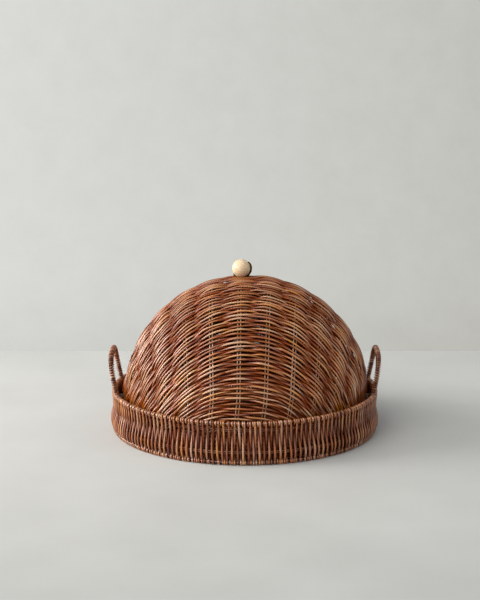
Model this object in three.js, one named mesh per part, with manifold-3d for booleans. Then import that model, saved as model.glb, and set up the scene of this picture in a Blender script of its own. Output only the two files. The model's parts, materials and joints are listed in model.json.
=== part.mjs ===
// A domed wicker serving basket. A round tray with two bound handles carries a roll-top cover:
// a fixed rear hood and a slightly larger front hood that rolls back over it on two pegs.
// Millimetres, +Z up, front towards -Y, origin on the floor below the middle of the tray.

import * as THREE from "three";
import { mergeVertices } from "three/addons/utils/BufferGeometryUtils.js";
import Module from "manifold-3d";

// Fits.
const CLEARANCE = 0.3; // between pieces that touch
const HOOD_GAP = 2.2; // running gap between the two hoods
const HOOD_TO_WALL = 7.6; // room between the front hood and the tray wall

// Tray.
const TRAY_HEIGHT = 60; // floor to the top of the rim
const RIM_RADIUS = 187; // to the outside of the rim hoop
const RIM_ROD = 6.6; // the rim hoop with its wrapping
const WALL_THICKNESS = 5;
const WALL_TOP_INSET = 1; // from the outside of the rim to the top of the wall
const WAIST_INSET = 1.1; // from the outside of the rim to the waist
const WAIST_BELOW_RIM = 24;
const BULGE_OUTSET = 1.8; // from the outside of the rim to the bulge
const BULGE_HEIGHT = 17;
const FOOT_INSET = 0.4; // from the outside of the rim to the outside of the base hoop
const BASE_WIDTH = 9;
const BASE_HEIGHT = 8;
const BASE_FLAT = 5; // width of the flat that the tray stands on
const FLOOR_THICKNESS = 5;
const FLOOR_DISH = 1.2; // the middle of the floor lies this much lower than its edge
const WALL_HOOP_ROD = 3; // the two rods that the wall strands cross
const UPPER_HOOP_BELOW_RIM = 11;

// Roll-top cover.
const PIVOT_BELOW_RIM = 20;
const WEAVE_THICKNESS = 6.6;
const LOBE_DEPTH = 2.4; // how far the weave dips between one stake and the next
const END_LOBES = 2; // lobes from the outermost stakes to the ends of the weave
const HOOP_ROD = 5; // edge hoops of the hoods
const STAKE_ROD = 2.4;
const STAKES = 11; // in each hood
const STAKE_STEP = 14.2; // degrees between stakes along the top hoop
const STAKE_FAN = 0.8; // share of that step along the bottom hoop
const STAKE_SHIFT = -2; // degrees that the whole fan sits to the left
const FRONT_TOP_TURN = 95; // degrees from the front horizon up and over to the front hood's top hoop
const REAR_TOP_TURN = 88; // the same to the rear hood's top hoop, tucked under the front hood
const EYE_RADIUS = 8; // wrapped eyes that turn on the pegs
const PEG_DIAMETER = 5.2;
const PEG_HEAD = 12; // diameter
const PEG_HEAD_THICKNESS = 2.5;
const PEG_TENON = 3.2; // length in the tray wall

// Knob.
const BEAD_DIAMETER = 25.4;
const BEAD_TURN = 93; // degrees from the front horizon
const BEAD_SIDE = -1.5; // degrees from the middle plane
const BORE_TILT = 38.7; // degrees that the bead's bore rises towards the right
const CORD_DIAMETER = 2.6;
const CORD_RIGHT_FOOT = 12; // from the middle of the bead to where the cord leaves the weave
const CORD_LEFT_FOOT = 12.4; // the same to where it goes back in
const CORD_LOOP = [
  [14, -7.4],
  [15.3, -2.2],
  [15.7, 3.4],
  [14.7, 8.7],
]; // the loop beside the bead, to the right of its middle and above it
const CORD_LEAD = 2.2; // straight stretch in front of the bore
const CORD_TAIL = 1.7; // the same behind it

// Handles.
const HANDLE_SPREAD = 92; // between the legs on the rim
const HANDLE_RISE = 54; // from the top of the rim to the middle of the rod at the crown
const HANDLE_SWELL = 8.5; // how far the arch swells outwards
const HANDLE_SQUARENESS = 0.6; // 1 is an ellipse, less has fuller shoulders
const SWELL_TURN = 70; // degrees of the sine that the swell follows from the rim to the crown
const HANDLE_CORE = 4.4;
const BINDING_WIDTH = 4.2;
const BINDING_THICKNESS = 1.2;
const BINDING_LOOPS = 24;
const BINDING_EASE = 0.08; // share of the binding over which its straight ends turn into loops

// Facets.
const RING_SEGMENTS = 48;
const WALL_LEVELS = 7;
const ROD_SIDES = 6;
const ROUND_SIDES = 8;
const TURNED_SEGMENTS = 16;
const BEAD_STEPS = 8;
const HOOP_STEPS = 22;
const LOBE_FACETS = 4; // of the weave, from one stake to the next
const WEAVE_ROWS = 8; // of the weave and the stakes, from hoop to hoop
const HANDLE_STEPS = 30;
const LOOP_STEPS = 10;
const CORD_STEPS = 20;
const MERGE_DISTANCE = 1e-3;

// Places worked out from the sizes above.
const rimCentreRadius = RIM_RADIUS - RIM_ROD / 2;
const rimCentreHeight = TRAY_HEIGHT - RIM_ROD / 2;
const wallTop = TRAY_HEIGHT - RIM_ROD - CLEARANCE;
const wallFoot = BASE_HEIGHT + CLEARANCE;
const footRadius = RIM_RADIUS - FOOT_INSET;
const baseCentreRadius = footRadius - BASE_WIDTH / 2;
const floorRadius = footRadius - BASE_WIDTH - CLEARANCE;
const floorTop = BASE_HEIGHT;
const pivotHeight = TRAY_HEIGHT - PIVOT_BELOW_RIM;
const waistHeight = TRAY_HEIGHT - WAIST_BELOW_RIM;
const waistRadius = RIM_RADIUS - WAIST_INSET;
const pivotWallRadius = wallRadius(pivotHeight) - WALL_THICKNESS;
const frontRadius = waistRadius - WALL_THICKNESS - HOOD_TO_WALL;
const hoodDepth = WEAVE_THICKNESS + CLEARANCE + STAKE_ROD;
const outermostStake = (STAKES - 1) / 2;
const rearRadius = frontRadius - hoodDepth - HOOD_GAP;
const frontEyeInner = frontRadius - HOOP_ROD;
const frontEyeOuter = pivotWallRadius - WALL_HOOP_ROD / 2 - CLEARANCE;
const rearEyeInner = rearRadius - HOOP_ROD;
const rearEyeOuter = frontEyeInner - CLEARANCE;

const wasm = await Module();
wasm.setup();

const cane = material(0x8a4e2a, 0.45);
const paleCane = material(0xb98352, 0.5);
const darkCane = material(0x6b3a22, 0.45);
const beadWood = material(0xe8cda0, 0.4);
const cordFibre = material(0x2e2418, 0.8);

/** A finish with a colour and a roughness. */
function material(color, roughness) {
  return new THREE.MeshStandardMaterial({ color, roughness, metalness: 0 });
}

/** A named piece of the basket. */
function piece(name, geometry, finish) {
  const mesh = new THREE.Mesh(geometry, finish);
  mesh.name = name;
  return mesh;
}

/** The outside of the tray wall at a height: foot, bulge, waist and top joined by smooth steps. */
function wallRadius(height) {
  const knots = [
    [wallFoot, footRadius],
    [BULGE_HEIGHT, RIM_RADIUS + BULGE_OUTSET],
    [waistHeight, waistRadius],
    [wallTop, RIM_RADIUS - WALL_TOP_INSET],
  ];
  let upper = 1;
  while (upper < knots.length - 1 && height > knots[upper][0]) upper += 1;
  const [lowHeight, lowRadius] = knots[upper - 1];
  const [highHeight, highRadius] = knots[upper];
  return THREE.MathUtils.lerp(
    lowRadius,
    highRadius,
    THREE.MathUtils.smoothstep(height, lowHeight, highHeight),
  );
}

/** A regular polygon's corners round a point. */
function polygon(sides, radius, centreX = 0, centreY = 0) {
  return Array.from({ length: sides }, (_, side) => {
    const angle = (Math.PI * (2 * side + 1)) / sides;
    return new THREE.Vector2(
      centreX + radius * Math.cos(angle),
      centreY + radius * Math.sin(angle),
    );
  });
}

/** A profile of radius and height, turned round the vertical axis. */
function revolve(profile, segments = RING_SEGMENTS) {
  return new THREE.LatheGeometry(profile, segments).rotateX(Math.PI / 2);
}

/** A profile of radius and distance, turned round the X axis. */
function turn(profile) {
  return new THREE.LatheGeometry(profile, TURNED_SEGMENTS).rotateZ(-Math.PI / 2);
}

/** The same profile with its first point repeated, so that it closes on itself. */
function closed(profile) {
  return [...profile, profile[0]];
}

/** A rectangle of radius and distance as a closed profile. */
function sleeve(inner, outer, start, end) {
  return closed([
    new THREE.Vector2(outer, start),
    new THREE.Vector2(outer, end),
    new THREE.Vector2(inner, end),
    new THREE.Vector2(inner, start),
  ]);
}

/** A round rod along a curve. */
function rod(curve, diameter, steps, sides) {
  const section = new THREE.Shape(polygon(sides, diameter / 2));
  return new THREE.ExtrudeGeometry(section, { steps, extrudePath: curve, bevelEnabled: false });
}

/** A curve given by a function of its share of length. */
function curveOf(pointAt) {
  const curve = new THREE.Curve();
  curve.getPoint = (share) => pointAt(share);
  return curve;
}

/** A closed geometry as a solid that can be joined and cut. */
function solid(geometry) {
  const bare = geometry.clone();
  bare.deleteAttribute("normal");
  bare.deleteAttribute("uv");
  const merged = mergeVertices(bare, MERGE_DISTANCE);
  const mesh = new wasm.Mesh({
    numProp: 3,
    vertProperties: merged.getAttribute("position").array,
    triVerts: new Uint32Array(merged.index.array),
  });
  return new wasm.Manifold(mesh);
}

/** A solid back as a geometry. */
function geometryOf(made) {
  const mesh = made.getMesh();
  const geometry = new THREE.BufferGeometry();
  geometry.setAttribute("position", new THREE.BufferAttribute(mesh.vertProperties, 3));
  geometry.setIndex(new THREE.BufferAttribute(mesh.triVerts, 1));
  geometry.computeVertexNormals();
  return geometry;
}

/** A tube through rings of points, one ring a step, closed by flat ends. */
function loft(rings) {
  const sides = rings[0].length;
  const last = (rings.length - 1) * sides;
  const index = [];
  for (let ring = 0; ring < rings.length - 1; ring += 1) {
    for (let side = 0; side < sides; side += 1) {
      const here = ring * sides + side;
      const next = ring * sides + ((side + 1) % sides);
      index.push(here, next, next + sides, here, next + sides, here + sides);
    }
  }
  for (let side = 1; side < sides - 1; side += 1) {
    index.push(0, side + 1, side, last, last + side, last + side + 1);
  }
  const geometry = new THREE.BufferGeometry().setFromPoints(rings.flat());
  geometry.setIndex(index);
  geometry.computeVertexNormals();
  return geometry;
}

/** The tray's base hoop, with a flat foot. */
function baseHoop() {
  const side = BASE_WIDTH / 2;
  const flat = BASE_FLAT / 2;
  const profile = [
    [-flat, 0],
    [flat, 0],
    [side, BASE_HEIGHT / 2],
    [flat, BASE_HEIGHT],
    [-flat, BASE_HEIGHT],
    [-side, BASE_HEIGHT / 2],
  ];
  return revolve(closed(profile.map(([x, y]) => new THREE.Vector2(baseCentreRadius + x, y))));
}

/** The tray's floor, a disc that dishes slightly towards its middle. */
function trayFloor() {
  const low = floorTop - FLOOR_THICKNESS;
  const half = floorRadius / 2;
  return revolve([
    new THREE.Vector2(0, low - FLOOR_DISH),
    new THREE.Vector2(half, low - FLOOR_DISH),
    new THREE.Vector2(floorRadius, low),
    new THREE.Vector2(floorRadius, floorTop),
    new THREE.Vector2(half, floorTop - FLOOR_DISH),
    new THREE.Vector2(0, floorTop - FLOOR_DISH),
  ]);
}

/** The heights of the two rods that the wall strands cross. */
function wallHoopHeights() {
  return { lower: BULGE_HEIGHT, upper: TRAY_HEIGHT - UPPER_HOOP_BELOW_RIM };
}

/** A wall rod, half let into the inside of the wall. */
function wallHoop(height) {
  const centre = wallRadius(height) - WALL_THICKNESS;
  return revolve(closed(polygon(ROD_SIDES, WALL_HOOP_ROD / 2, centre, height)));
}

/** The tray's woven wall, with seats for its rods and blind holes for the pegs. */
function trayWall() {
  const outside = Array.from({ length: WALL_LEVELS + 1 }, (_, level) => {
    const height = THREE.MathUtils.lerp(wallFoot, wallTop, level / WALL_LEVELS);
    return new THREE.Vector2(wallRadius(height), height);
  });
  const inside = (height) => new THREE.Vector2(wallRadius(height) - WALL_THICKNESS, height);
  const seatRadius = WALL_HOOP_ROD / 2 + CLEARANCE / Math.cos(Math.PI / ROD_SIDES);
  const seat = (height) => {
    const centre = inside(height);
    return Array.from({ length: ROD_SIDES / 2 + 1 }, (_, corner) => {
      const angle = Math.PI / 2 - (2 * Math.PI * corner) / ROD_SIDES;
      return new THREE.Vector2(
        centre.x + seatRadius * Math.cos(angle),
        centre.y + seatRadius * Math.sin(angle),
      );
    });
  };
  const { lower, upper } = wallHoopHeights();
  const profile = [
    ...outside,
    inside(wallTop),
    ...seat(upper),
    inside((upper + lower) / 2),
    ...seat(lower),
    inside(wallFoot),
  ];
  const bore = PEG_DIAMETER / 2 + CLEARANCE;
  const boreEnd = pivotWallRadius + PEG_TENON + CLEARANCE;
  const hole = turn(sleeve(0, bore, pivotWallRadius - WALL_THICKNESS, boreEnd));
  hole.translate(0, 0, pivotHeight);
  const right = solid(hole);
  const left = solid(hole.clone().rotateZ(Math.PI));
  return geometryOf(solid(revolve(closed(profile))).subtract(right).subtract(left));
}

/** Where a handle leg stands on the rim, on the right-hand side. */
function legPlace() {
  const across = HANDLE_SPREAD / 2;
  return { across, out: Math.sqrt(rimCentreRadius ** 2 - across ** 2) };
}

/** The rim hoop, bored for the four handle legs. */
function rimHoop() {
  const section = polygon(ROUND_SIDES, RIM_ROD / 2, rimCentreRadius, rimCentreHeight);
  let hoop = solid(revolve(closed(section)));
  const { across, out } = legPlace();
  const bore = HANDLE_CORE / 2 + CLEARANCE;
  const profile = sleeve(0, bore, rimCentreHeight - RIM_ROD, rimCentreHeight + RIM_ROD);
  for (const x of [-out, out]) {
    for (const y of [-across, across]) {
      hoop = hoop.subtract(solid(revolve(profile, TURNED_SEGMENTS).translate(x, y, 0)));
    }
  }
  return geometryOf(hoop);
}

/** The middle line of the right-hand handle's arch, from the front leg on the rim to the rear one. */
function handleArch() {
  const { across, out } = legPlace();
  return curveOf((share) => {
    const angle = Math.PI * share;
    const rise = Math.sin(angle) ** HANDLE_SQUARENESS;
    const reach = Math.sign(Math.cos(angle)) * Math.abs(Math.cos(angle)) ** HANDLE_SQUARENESS;
    const swell = Math.sin(THREE.MathUtils.degToRad(SWELL_TURN) * rise);
    return new THREE.Vector3(
      out + HANDLE_SWELL * swell,
      -across * reach,
      TRAY_HEIGHT + CLEARANCE + HANDLE_RISE * rise,
    );
  });
}

/** The handle's bent rod, with legs that run down through the rim. */
function handleCore(arch) {
  const { across, out } = legPlace();
  const legEnd = wallTop + CLEARANCE;
  const points = arch.getSpacedPoints(HANDLE_STEPS);
  const leg = (y) => new THREE.Vector3(out, y, legEnd);
  const path = new THREE.CatmullRomCurve3([leg(-across), ...points, leg(across)]);
  return rod(path, HANDLE_CORE, HANDLE_STEPS + 2, ROUND_SIDES);
}

/** The share of its loops that the binding has made at a share of its way, easing in and out. */
function woundShare(way) {
  if (way > 1 / 2) return 1 - woundShare(1 - way);
  const whole = 1 - BINDING_EASE;
  if (way > BINDING_EASE) return (way - BINDING_EASE / 2) / whole;
  const eased = way / BINDING_EASE;
  return (BINDING_EASE * (eased ** 3 - eased ** 4 / 2)) / whole;
}

/** The binding's path round the handle: straight up at each end and in even loops between. */
function bindingPath(arch) {
  const straight = BINDING_WIDTH / arch.getLength();
  const radius = HANDLE_CORE / 2 + CLEARANCE + BINDING_THICKNESS;
  const steps = BINDING_LOOPS * LOOP_STEPS;
  return Array.from({ length: steps + 1 }, (_, step) => {
    const share = step / steps;
    const way = (share - straight) / (1 - 2 * straight);
    const centre = arch.getPointAt(share);
    const tangent = arch.getTangentAt(share);
    const outward = new THREE.Vector3(1, 0, 0).addScaledVector(tangent, -tangent.x).normalize();
    const sideways = new THREE.Vector3().crossVectors(tangent, outward);
    const angle = 2 * Math.PI * BINDING_LOOPS * woundShare(THREE.MathUtils.clamp(way, 0, 1));
    const radial = outward.multiplyScalar(Math.cos(angle));
    radial.addScaledVector(sideways, Math.sin(angle));
    return { radial, point: centre.addScaledVector(radial, radius) };
  });
}

/** The corners of the flat binding strip at each step of its path. */
function bindingRings(path) {
  return path.map(({ point, radial }, step) => {
    const before = path[Math.max(step - 1, 0)].point;
    const after = path[Math.min(step + 1, path.length - 1)].point;
    const along = new THREE.Vector3().subVectors(after, before).normalize();
    const wide = new THREE.Vector3().crossVectors(along, radial).normalize();
    const thick = new THREE.Vector3().crossVectors(wide, along);
    const corner = (across, up) =>
      point
        .clone()
        .addScaledVector(wide, (across * BINDING_WIDTH) / 2)
        .addScaledVector(thick, (up * BINDING_THICKNESS) / 2);
    return [corner(-1, -1), corner(-1, 1), corner(1, 1), corner(1, -1)];
  });
}

/** The least distance between one loop's corners and the next loop's. */
function leastSelfGap(rings) {
  let least = Infinity;
  rings.forEach((ring, step) => {
    for (const other of rings.slice(step + LOOP_STEPS / 2, step + 2 * LOOP_STEPS)) {
      for (const corner of ring) {
        for (const facing of other) least = Math.min(least, corner.distanceTo(facing));
      }
    }
  });
  return least;
}

/** A point on a hood: side runs towards +X, turn from the front horizon up and over to the rear. */
function onHood(radius, side, hoodTurn) {
  return new THREE.Vector3(
    radius * Math.sin(side),
    -radius * Math.cos(side) * Math.cos(hoodTurn),
    pivotHeight + radius * Math.cos(side) * Math.sin(hoodTurn),
  );
}

/** The turn away from a hoop's plane at which a hood's surface clears the hoop by a distance. */
function turnPast(distance, radius, side) {
  return Math.asin(distance / (radius * Math.cos(side)));
}

/** How far below the pivots a hood's bottom hoop lies when it rests on the floor. */
function bottomTurn(radius) {
  const drop = pivotHeight - floorTop - CLEARANCE - HOOP_ROD / 2;
  return Math.asin(drop / (radius - HOOP_ROD / 2));
}

/** An edge hoop's rod in the plane of a turn, ending a distance from the pivot axis at each side. */
function hoopRod(radius, hoodTurn, fromAxis) {
  const middle = radius - HOOP_ROD / 2;
  const reach = Math.acos(fromAxis / middle);
  const arc = curveOf((share) => {
    const side = THREE.MathUtils.lerp(-reach, reach, share);
    return onHood(middle, side, hoodTurn);
  });
  return rod(arc, HOOP_ROD, HOOP_STEPS, ROUND_SIDES);
}

/** A bottom hoop, whose ends are wrapped into the eyes that turn on the pegs. */
function bottomHoop(radius, hoodTurn, eyeInner, eyeOuter) {
  const bore = PEG_DIAMETER / 2 + CLEARANCE;
  const eye = turn(sleeve(bore, EYE_RADIUS, eyeInner, eyeOuter));
  eye.translate(0, 0, pivotHeight);
  const overlap = (EYE_RADIUS + PEG_DIAMETER / 2) / 2 + CLEARANCE;
  const joined = solid(hoopRod(radius, hoodTurn, overlap)).add(solid(eye));
  return geometryOf(joined.add(solid(eye.clone().rotateZ(Math.PI))));
}

/** The side of a place in the fan, counted in stakes from its middle, at a share of the way up. */
function fanSide(place, share) {
  const step = STAKE_STEP * THREE.MathUtils.lerp(STAKE_FAN, 1, share);
  return THREE.MathUtils.degToRad(step * place + STAKE_SHIFT);
}

/** How far the weave dips at a place in the fan: not at all on a stake, most between two. */
function lobeDip(place) {
  return LOBE_DEPTH * (1 - Math.abs(Math.cos(Math.PI * (place - outermostStake))));
}

/** The side of a column of the weave, along the fan and then on to the end of the weave. */
function columnSide(place, share, reach) {
  const beyond = Math.abs(place) - outermostStake;
  if (beyond <= 0) return fanSide(place, share);
  const end = Math.sign(place);
  const stakeSide = fanSide(end * outermostStake, share);
  return THREE.MathUtils.lerp(stakeSide, end * reach, beyond / END_LOBES);
}

/** A stake from the bottom hoop to the top hoop, lying against the inside of the weave. */
function stake(radius, lowTurn, topTurn, order) {
  const facetDip = Math.cos((topTurn - lowTurn) / WEAVE_ROWS / 2);
  const middle = (radius - hoodDepth + STAKE_ROD / 2) / facetDip;
  const place = order - outermostStake;
  const margin = HOOP_ROD / 2 + STAKE_ROD / 2 + CLEARANCE;
  const way = Math.sign(topTurn - lowTurn);
  const low = lowTurn + way * turnPast(margin, middle, fanSide(place, 0));
  const top = topTurn - way * turnPast(margin, middle, fanSide(place, 1));
  const arc = curveOf((share) => {
    const stakeTurn = THREE.MathUtils.lerp(low, top, share);
    return onHood(middle, fanSide(place, share), stakeTurn);
  });
  return rod(arc, STAKE_ROD, WEAVE_ROWS, ROD_SIDES);
}

/** A hood's weave: a shell lobed over the stakes, between the hoops and short of the eyes. */
function hoodWeave(radius, lowTurn, topTurn) {
  const first = Math.min(lowTurn, topTurn);
  const last = Math.max(lowTurn, topTurn);
  const reach = Math.acos((EYE_RADIUS + CLEARANCE) / (radius - WEAVE_THICKNESS));
  const lastPlace = outermostStake + END_LOBES;
  const columns = 2 * lastPlace * LOBE_FACETS;
  const placeOf = (column) => column / LOBE_FACETS - lastPlace;
  const endFacet = (reach - fanSide(outermostStake, 0)) / (END_LOBES * LOBE_FACETS);
  const facetDip = Math.cos(endFacet / 2) * Math.cos((last - first) / WEAVE_ROWS / 2);
  const inner = (radius - WEAVE_THICKNESS) / facetDip;
  const skins = [(place) => radius - lobeDip(place), () => inner];
  const fromHoop = HOOP_ROD / 2 + CLEARANCE;
  const points = [];
  for (const skin of skins) {
    for (let row = 0; row <= WEAVE_ROWS; row += 1) {
      const share = row / WEAVE_ROWS;
      const shareUp = lowTurn < topTurn ? share : 1 - share;
      for (let column = 0; column <= columns; column += 1) {
        const place = placeOf(column);
        const side = columnSide(place, shareUp, reach);
        const edge = turnPast(fromHoop, skin(place), side);
        const rowTurn = THREE.MathUtils.lerp(first + edge, last - edge, share);
        points.push(onHood(skin(place), side, rowTurn));
      }
    }
  }
  const wide = columns + 1;
  const skinSize = wide * (WEAVE_ROWS + 1);
  const index = [];
  const quad = (a, b, c, d) => index.push(a, b, c, a, c, d);
  for (let row = 0; row < WEAVE_ROWS; row += 1) {
    for (let column = 0; column < columns; column += 1) {
      const here = row * wide + column;
      const under = skinSize + here;
      quad(here, here + 1, here + wide + 1, here + wide);
      quad(under + wide, under + wide + 1, under + 1, under);
    }
  }
  for (let column = 0; column < columns; column += 1) {
    const high = WEAVE_ROWS * wide + column;
    quad(column + 1, column, skinSize + column, skinSize + column + 1);
    quad(high, high + 1, skinSize + high + 1, skinSize + high);
  }
  for (let row = 0; row < WEAVE_ROWS; row += 1) {
    const left = row * wide;
    const right = left + columns;
    quad(left, left + wide, skinSize + left + wide, skinSize + left);
    quad(right + wide, right, skinSize + right, skinSize + right + wide);
  }
  const geometry = new THREE.BufferGeometry().setFromPoints(points);
  geometry.setIndex(index);
  geometry.computeVertexNormals();
  return geometry;
}

/** A hood: two edge hoops, a fan of stakes and the weave over them. */
function hood(name, radius, lowTurn, topTurn, eyeInner, eyeOuter) {
  const group = new THREE.Group();
  const lowHoop = bottomHoop(radius, lowTurn, eyeInner, eyeOuter);
  const topHoop = hoopRod(radius, topTurn, EYE_RADIUS + CLEARANCE);
  group.add(piece(`${name}_bottom_hoop`, lowHoop, darkCane));
  group.add(piece(`${name}_top_hoop`, topHoop, darkCane));
  for (let order = 0; order < STAKES; order += 1) {
    const rib = stake(radius, lowTurn, topTurn, order);
    group.add(piece(`${name}_stake_${order + 1}`, rib, paleCane));
  }
  group.add(piece(`${name}_weave`, hoodWeave(radius, lowTurn, topTurn), cane));
  return group;
}

/** The bead, a ball bored along X. */
function bead() {
  const radius = BEAD_DIAMETER / 2;
  const bore = CORD_DIAMETER / 2 + CLEARANCE;
  const edge = Math.acos(bore / radius);
  const ball = Array.from({ length: BEAD_STEPS + 1 }, (_, step) => {
    const angle = THREE.MathUtils.lerp(-edge, edge, step / BEAD_STEPS);
    return new THREE.Vector2(radius * Math.cos(angle), radius * Math.sin(angle));
  });
  return turn(closed(ball));
}

/** The knob's cord: out of the weave, over in a loop, through the bead and back into the weave. */
function knobCord() {
  const radius = BEAD_DIAMETER / 2;
  const tilt = THREE.MathUtils.degToRad(BORE_TILT);
  const along = (distance) => [distance * Math.cos(tilt), distance * Math.sin(tilt)];
  const weave = (x) => {
    const side = Math.asin(x / frontRadius);
    const place = (BEAD_SIDE + THREE.MathUtils.radToDeg(side) - STAKE_SHIFT) / STAKE_STEP;
    const drop = frontRadius * (1 - Math.cos(side)) + lobeDip(place);
    return [x, -radius - drop];
  };
  const route = [
    weave(CORD_RIGHT_FOOT),
    ...CORD_LOOP,
    along(radius + CORD_LEAD),
    along(radius / 2),
    along(-radius / 2),
    along(-radius - CORD_TAIL),
    weave(-CORD_LEFT_FOOT),
  ];
  const path = new THREE.CatmullRomCurve3(route.map(([x, z]) => new THREE.Vector3(x, 0, z)));
  return rod(path, CORD_DIAMETER, CORD_STEPS, ROUND_SIDES);
}

/** The knob on the top edge of the front hood. */
function knob() {
  const side = THREE.MathUtils.degToRad(BEAD_SIDE);
  const beadTurn = THREE.MathUtils.degToRad(BEAD_TURN);
  const group = new THREE.Group();
  group.position.copy(onHood(frontRadius + CLEARANCE + BEAD_DIAMETER / 2, side, beadTurn));
  group.rotation.set(beadTurn - Math.PI / 2, side, 0);
  const ball = piece("knob_bead", bead(), beadWood);
  ball.rotation.y = -THREE.MathUtils.degToRad(BORE_TILT);
  group.add(ball, piece("knob_cord", knobCord(), cordFibre));
  return group;
}

/** A pivot peg: a round head inside the rear hood and a pin through both eyes into the tray wall. */
function pivotPeg() {
  const headOuter = rearEyeInner - CLEARANCE;
  const pin = PEG_DIAMETER / 2;
  return turn([
    new THREE.Vector2(0, headOuter - PEG_HEAD_THICKNESS),
    new THREE.Vector2(PEG_HEAD / 2, headOuter - PEG_HEAD_THICKNESS),
    new THREE.Vector2(PEG_HEAD / 2, headOuter),
    new THREE.Vector2(pin, headOuter),
    new THREE.Vector2(pin, pivotWallRadius + PEG_TENON),
    new THREE.Vector2(0, pivotWallRadius + PEG_TENON),
  ]).translate(0, 0, pivotHeight);
}

/** A handle and a pivot peg on one side of the tray; the left side is the right one turned about. */
function sideFittings(side, turnAbout) {
  const arch = handleArch();
  const rings = bindingRings(bindingPath(arch));
  const group = new THREE.Group();
  group.rotation.z = turnAbout;
  group.add(
    piece(`handle_${side}_core`, handleCore(arch), darkCane),
    piece(`handle_${side}_binding`, loft(rings), cane),
    piece(`pivot_peg_${side}`, pivotPeg(), darkCane),
  );
  const gap = leastSelfGap(rings).toFixed(2);
  console.log(`handle_${side}_binding: least gap between loops ${gap} mm`);
  return group;
}

/** The tray without its handles. */
function tray() {
  const { lower, upper } = wallHoopHeights();
  const group = new THREE.Group();
  group.add(
    piece("tray_base_hoop", baseHoop(), darkCane),
    piece("tray_floor", trayFloor(), cane),
    piece("tray_wall_weave", trayWall(), cane),
    piece("tray_lower_hoop", wallHoop(lower), paleCane),
    piece("tray_upper_hoop", wallHoop(upper), paleCane),
    piece("tray_rim_hoop", rimHoop(), darkCane),
  );
  return group;
}

const basket = new THREE.Group();
basket.add(
  tray(),
  sideFittings("right", 0),
  sideFittings("left", Math.PI),
  hood(
    "front_hood",
    frontRadius,
    -bottomTurn(frontRadius),
    THREE.MathUtils.degToRad(FRONT_TOP_TURN),
    frontEyeInner,
    frontEyeOuter,
  ),
  hood(
    "rear_hood",
    rearRadius,
    Math.PI + bottomTurn(rearRadius),
    THREE.MathUtils.degToRad(REAR_TOP_TURN),
    rearEyeInner,
    rearEyeOuter,
  ),
  knob(),
);

export default basket;
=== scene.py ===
"""Looks of a domed wicker serving basket: woven hoods, strand wall, bound handles and a bead knob.

Sizes are in millimetres and degrees and become metres where a mesh is made. The front is -Y and up is
+Z. A strand's tone runs from 0 for a deep stain to 1 for a pale one.
"""

from __future__ import annotations

import json
import logging
import math
from dataclasses import dataclass, field
from enum import Enum
from typing import Any, Sequence

import bpy
import numpy as np
from bpy.types import Material, Node, NodeSocket, NodeTree, Object
from mathutils import Euler, Matrix, Vector

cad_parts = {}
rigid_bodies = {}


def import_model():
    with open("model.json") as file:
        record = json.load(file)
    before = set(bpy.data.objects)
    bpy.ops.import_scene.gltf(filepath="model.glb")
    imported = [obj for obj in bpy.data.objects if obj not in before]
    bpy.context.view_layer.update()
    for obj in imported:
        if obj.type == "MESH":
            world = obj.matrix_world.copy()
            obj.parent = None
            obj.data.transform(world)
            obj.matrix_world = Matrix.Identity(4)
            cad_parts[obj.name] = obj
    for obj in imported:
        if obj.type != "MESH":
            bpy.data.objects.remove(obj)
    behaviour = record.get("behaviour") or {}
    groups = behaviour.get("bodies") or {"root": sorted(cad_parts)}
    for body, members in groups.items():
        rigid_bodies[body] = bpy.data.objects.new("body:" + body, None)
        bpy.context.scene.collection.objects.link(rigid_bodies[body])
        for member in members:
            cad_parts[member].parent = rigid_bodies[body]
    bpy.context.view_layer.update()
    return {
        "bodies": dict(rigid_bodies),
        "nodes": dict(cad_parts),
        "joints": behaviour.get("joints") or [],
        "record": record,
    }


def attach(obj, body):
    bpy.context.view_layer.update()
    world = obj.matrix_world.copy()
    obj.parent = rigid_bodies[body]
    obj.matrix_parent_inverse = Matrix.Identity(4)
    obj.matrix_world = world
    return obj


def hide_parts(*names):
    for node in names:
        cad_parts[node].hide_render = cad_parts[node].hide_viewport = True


LOG = logging.getLogger("basket")
MM = 0.001
PIVOT_HEIGHT = 40.0
FEWEST_PIECES = 4  # in an evenly spaced path
UP = np.array([0.0, 0.0, 1.0])
RIGHT = np.array([1.0, 0.0, 0.0])
Reals = float | np.ndarray
Pair = tuple[float, float]
Spot = tuple[float, float, float]


class Body(str, Enum):
    """The two bodies that pieces ride on."""

    TRAY = "tray"
    FRONT_HOOD = "front_hood"


class Facing(Enum):
    """The side that a hood covers, as the sign of its Y."""

    FRONT = -1
    REAR = 1


class Side(Enum):
    """The side of the tray that a handle stands on, as the sign of its X."""

    RIGHT = 1
    LEFT = -1


def linear(code: str) -> tuple[float, float, float, float]:
    """Turns an sRGB hex code into a linear colour.

    Args:
        code: Six hex digits after a hash.

    Returns:
        Linear red, green, blue and alpha.
    """
    levels = [int(code[place : place + 2], 16) / 255 for place in (1, 3, 5)]
    red, green, blue = (
        level / 12.92 if level <= 0.04045 else ((level + 0.055) / 1.055) ** 2.4 for level in levels
    )
    return red, green, blue, 1.0


def feed(tree: NodeTree, node: Node, sockets: dict[str, Any] | Sequence[Any]) -> None:
    """Gives a node its inputs.

    Args:
        tree: The node tree that holds the node.
        node: The node to feed.
        sockets: A value, an output socket, or a node for its first output, by input name or in order.
    """
    for name, value in sockets.items() if isinstance(sockets, dict) else enumerate(sockets):
        source = value.outputs[0] if isinstance(value, Node) else value
        if isinstance(source, NodeSocket):
            tree.links.new(source, node.inputs[name])
        else:
            node.inputs[name].default_value = source


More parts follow.
